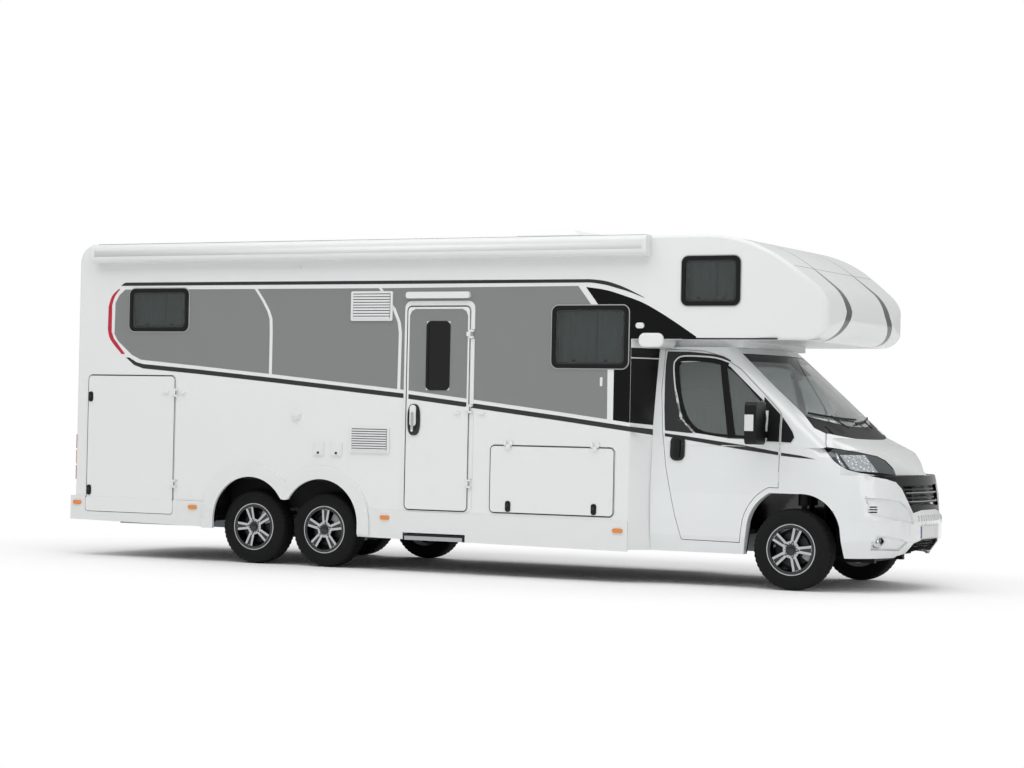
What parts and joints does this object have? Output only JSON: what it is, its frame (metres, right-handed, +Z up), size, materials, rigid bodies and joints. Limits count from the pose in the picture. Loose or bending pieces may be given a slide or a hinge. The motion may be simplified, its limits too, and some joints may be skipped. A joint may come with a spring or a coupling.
{
  "type": "alcove motorhome",
  "caption": "Tandem-axle alcove motorhome: sandwich living body on a low chassis behind a van cab, with opening doors, flaps, bonnet, step and steered wheels.",
  "frame": {"origin": "on the ground, half way along the vehicle and on its centre line", "axes": "+X forward, +Y to the left side, +Z up"},
  "size_m": [8.62, 2.6, 3.25],
  "materials": {
    "white_body": "glossy white paint and gelcoat",
    "white_plastic": "satin white ABS and painted aluminium",
    "black_plastic": "fine grained black moulding",
    "acrylic": "tinted acrylic double pane",
    "cab_glass": "lightly tinted safety glass",
    "lamp_lens": "clear and coloured lamp lenses",
    "galvanised_steel": "hot-dip galvanised steel",
    "dark_steel": "black coated steel and cast iron",
    "floor_board": "plywood-faced sandwich board, dark underside",
    "tank_plastic": "moulded polyethylene and black steel",
    "step_aluminium": "anodised extruded tread",
    "seat_fabric": "dark woven seat cover",
    "tyre": "black rubber",
    "rim_alloy": "black painted alloy with machined faces"
  },
  "bodies": {
    "coach": {"alcove_shell": "white_body", "awning_case": "white_plastic", "cab_body": "white_body", "cab_flares": "white_body", "cab_seats": "seat_fabric", "chassis_frame": "galvanised_steel", "dashboard": "black_plastic", "engine": "dark_steel", "floor": "floor_board", "front_bumper": "white_body", "front_suspension": "dark_steel", "grille": "black_plastic", "headlamps": "lamp_lens", "lamps": "lamp_lens", "rear_axles": "galvanised_steel", "rear_bumper": "white_plastic", "rear_wall": "white_body", "roof": "white_body", "roof_hatches": "white_plastic", "scuttle": "black_plastic", "side_fittings": "white_plastic", "side_skirts": "white_plastic", "side_wall_left": "white_body", "side_wall_right": "white_body", "underfloor_units": "tank_plastic", "window_frames": "black_plastic", "window_panes": "acrylic", "windscreen": "cab_glass"},
    "bonnet": {"bonnet": "white_body"},
    "cab_door_right": {"cab_door_right": "white_body", "cab_glass_right": "cab_glass", "mirror_right": "black_plastic"},
    "cab_door_left": {"cab_door_left": "white_body", "cab_glass_left": "cab_glass", "mirror_left": "black_plastic"},
    "entrance_door": {"entrance_door": "white_body", "entrance_window": "black_plastic"},
    "garage_door_right": {"garage_door_right": "white_body"},
    "garage_door_left": {"garage_door_left": "white_body"},
    "bay_flap": {"bay_flap": "white_body"},
    "gas_locker_door": {"gas_locker_door": "white_body"},
    "knuckle_right": {"knuckle_right": "dark_steel"},
    "knuckle_left": {"knuckle_left": "dark_steel"},
    "entrance_step": {"entrance_step": "step_aluminium"},
    "wheel_front_left": {"tyre_front_left": "tyre", "rim_front_left": "rim_alloy"},
    "wheel_front_right": {"tyre_front_right": "tyre", "rim_front_right": "rim_alloy"},
    "wheel_mid_left": {"tyre_mid_left": "tyre", "rim_mid_left": "rim_alloy"},
    "wheel_mid_right": {"tyre_mid_right": "tyre", "rim_mid_right": "rim_alloy"},
    "wheel_rear_left": {"tyre_rear_left": "tyre", "rim_rear_left": "rim_alloy"},
    "wheel_rear_right": {"tyre_rear_right": "tyre", "rim_rear_right": "rim_alloy"}
  },
  "joints": [
    {"name": "entrance_door_hinge", "type": "hinge", "parent": "coach", "child": "entrance_door", "pos_m": [0.245, -1.185, 1.5], "axis": [0, 0, 1], "range_deg": [0, 95]},
    {"name": "garage_door_right_hinge", "type": "hinge", "parent": "coach", "child": "garage_door_right", "pos_m": [-3.041, -1.185, 1.1], "axis": [0, 0, 1], "range_deg": [0, 100]},
    {"name": "garage_door_left_hinge", "type": "hinge", "parent": "coach", "child": "garage_door_left", "pos_m": [-3.041, 1.185, 1.1], "axis": [0, 0, -1], "range_deg": [0, 100]},
    {"name": "bay_flap_hinge", "type": "hinge", "parent": "coach", "child": "bay_flap", "pos_m": [1.101, -1.185, 1.211], "axis": [-1, 0, 0], "range_deg": [0, 95]},
    {"name": "gas_locker_hinge", "type": "hinge", "parent": "coach", "child": "gas_locker_door", "pos_m": [1.375, 1.185, 0.9], "axis": [0, 0, -1], "range_deg": [0, 100]},
    {"name": "cab_door_right_hinge", "type": "hinge", "parent": "coach", "child": "cab_door_right", "pos_m": [3.238, -1.017, 1.1], "axis": [0, 0, 1], "range_deg": [0, 68]},
    {"name": "cab_door_left_hinge", "type": "hinge", "parent": "coach", "child": "cab_door_left", "pos_m": [3.238, 1.017, 1.1], "axis": [0, 0, -1], "range_deg": [0, 68]},
    {"name": "bonnet_hinge", "type": "hinge", "parent": "coach", "child": "bonnet", "pos_m": [3.552, 0, 1.388], "axis": [0, -1, 0], "range_deg": [0, 50]},
    {"name": "step_slide", "type": "slide", "parent": "coach", "child": "entrance_step", "axis": [0, -1, 0], "range_m": [0, 0.25]},
    {"name": "steering_left", "type": "hinge", "parent": "coach", "child": "knuckle_left", "pos_m": [3.362, 0.855, 0.358], "axis": [0, 0, 1], "range_deg": [-33, 33]},
    {"name": "steering_right", "type": "hinge", "parent": "coach", "child": "knuckle_right", "pos_m": [3.362, -0.855, 0.358], "axis": [0, 0, 1], "range_deg": [-33, 33]},
    {"name": "spin_front_left", "type": "hinge", "parent": "knuckle_left", "child": "wheel_front_left", "pos_m": [3.362, 0.905, 0.358], "axis": [0, 1, 0], "continuous": true},
    {"name": "spin_front_right", "type": "hinge", "parent": "knuckle_right", "child": "wheel_front_right", "pos_m": [3.362, -0.905, 0.358], "axis": [0, 1, 0], "continuous": true},
    {"name": "spin_mid_left", "type": "hinge", "parent": "coach", "child": "wheel_mid_left", "pos_m": [-1.341, 0.99, 0.358], "axis": [0, 1, 0], "continuous": true},
    {"name": "spin_mid_right", "type": "hinge", "parent": "coach", "child": "wheel_mid_right", "pos_m": [-1.341, -0.99, 0.358], "axis": [0, 1, 0], "continuous": true},
    {"name": "spin_rear_left", "type": "hinge", "parent": "coach", "child": "wheel_rear_left", "pos_m": [-2.141, 0.99, 0.358], "axis": [0, 1, 0], "continuous": true},
    {"name": "spin_rear_right", "type": "hinge", "parent": "coach", "child": "wheel_rear_right", "pos_m": [-2.141, -0.99, 0.358], "axis": [0, 1, 0], "continuous": true}
  ],
  "couplings": [
    {"joint": "steering_right", "follows": "steering_left", "ratio": 1}
  ]
}
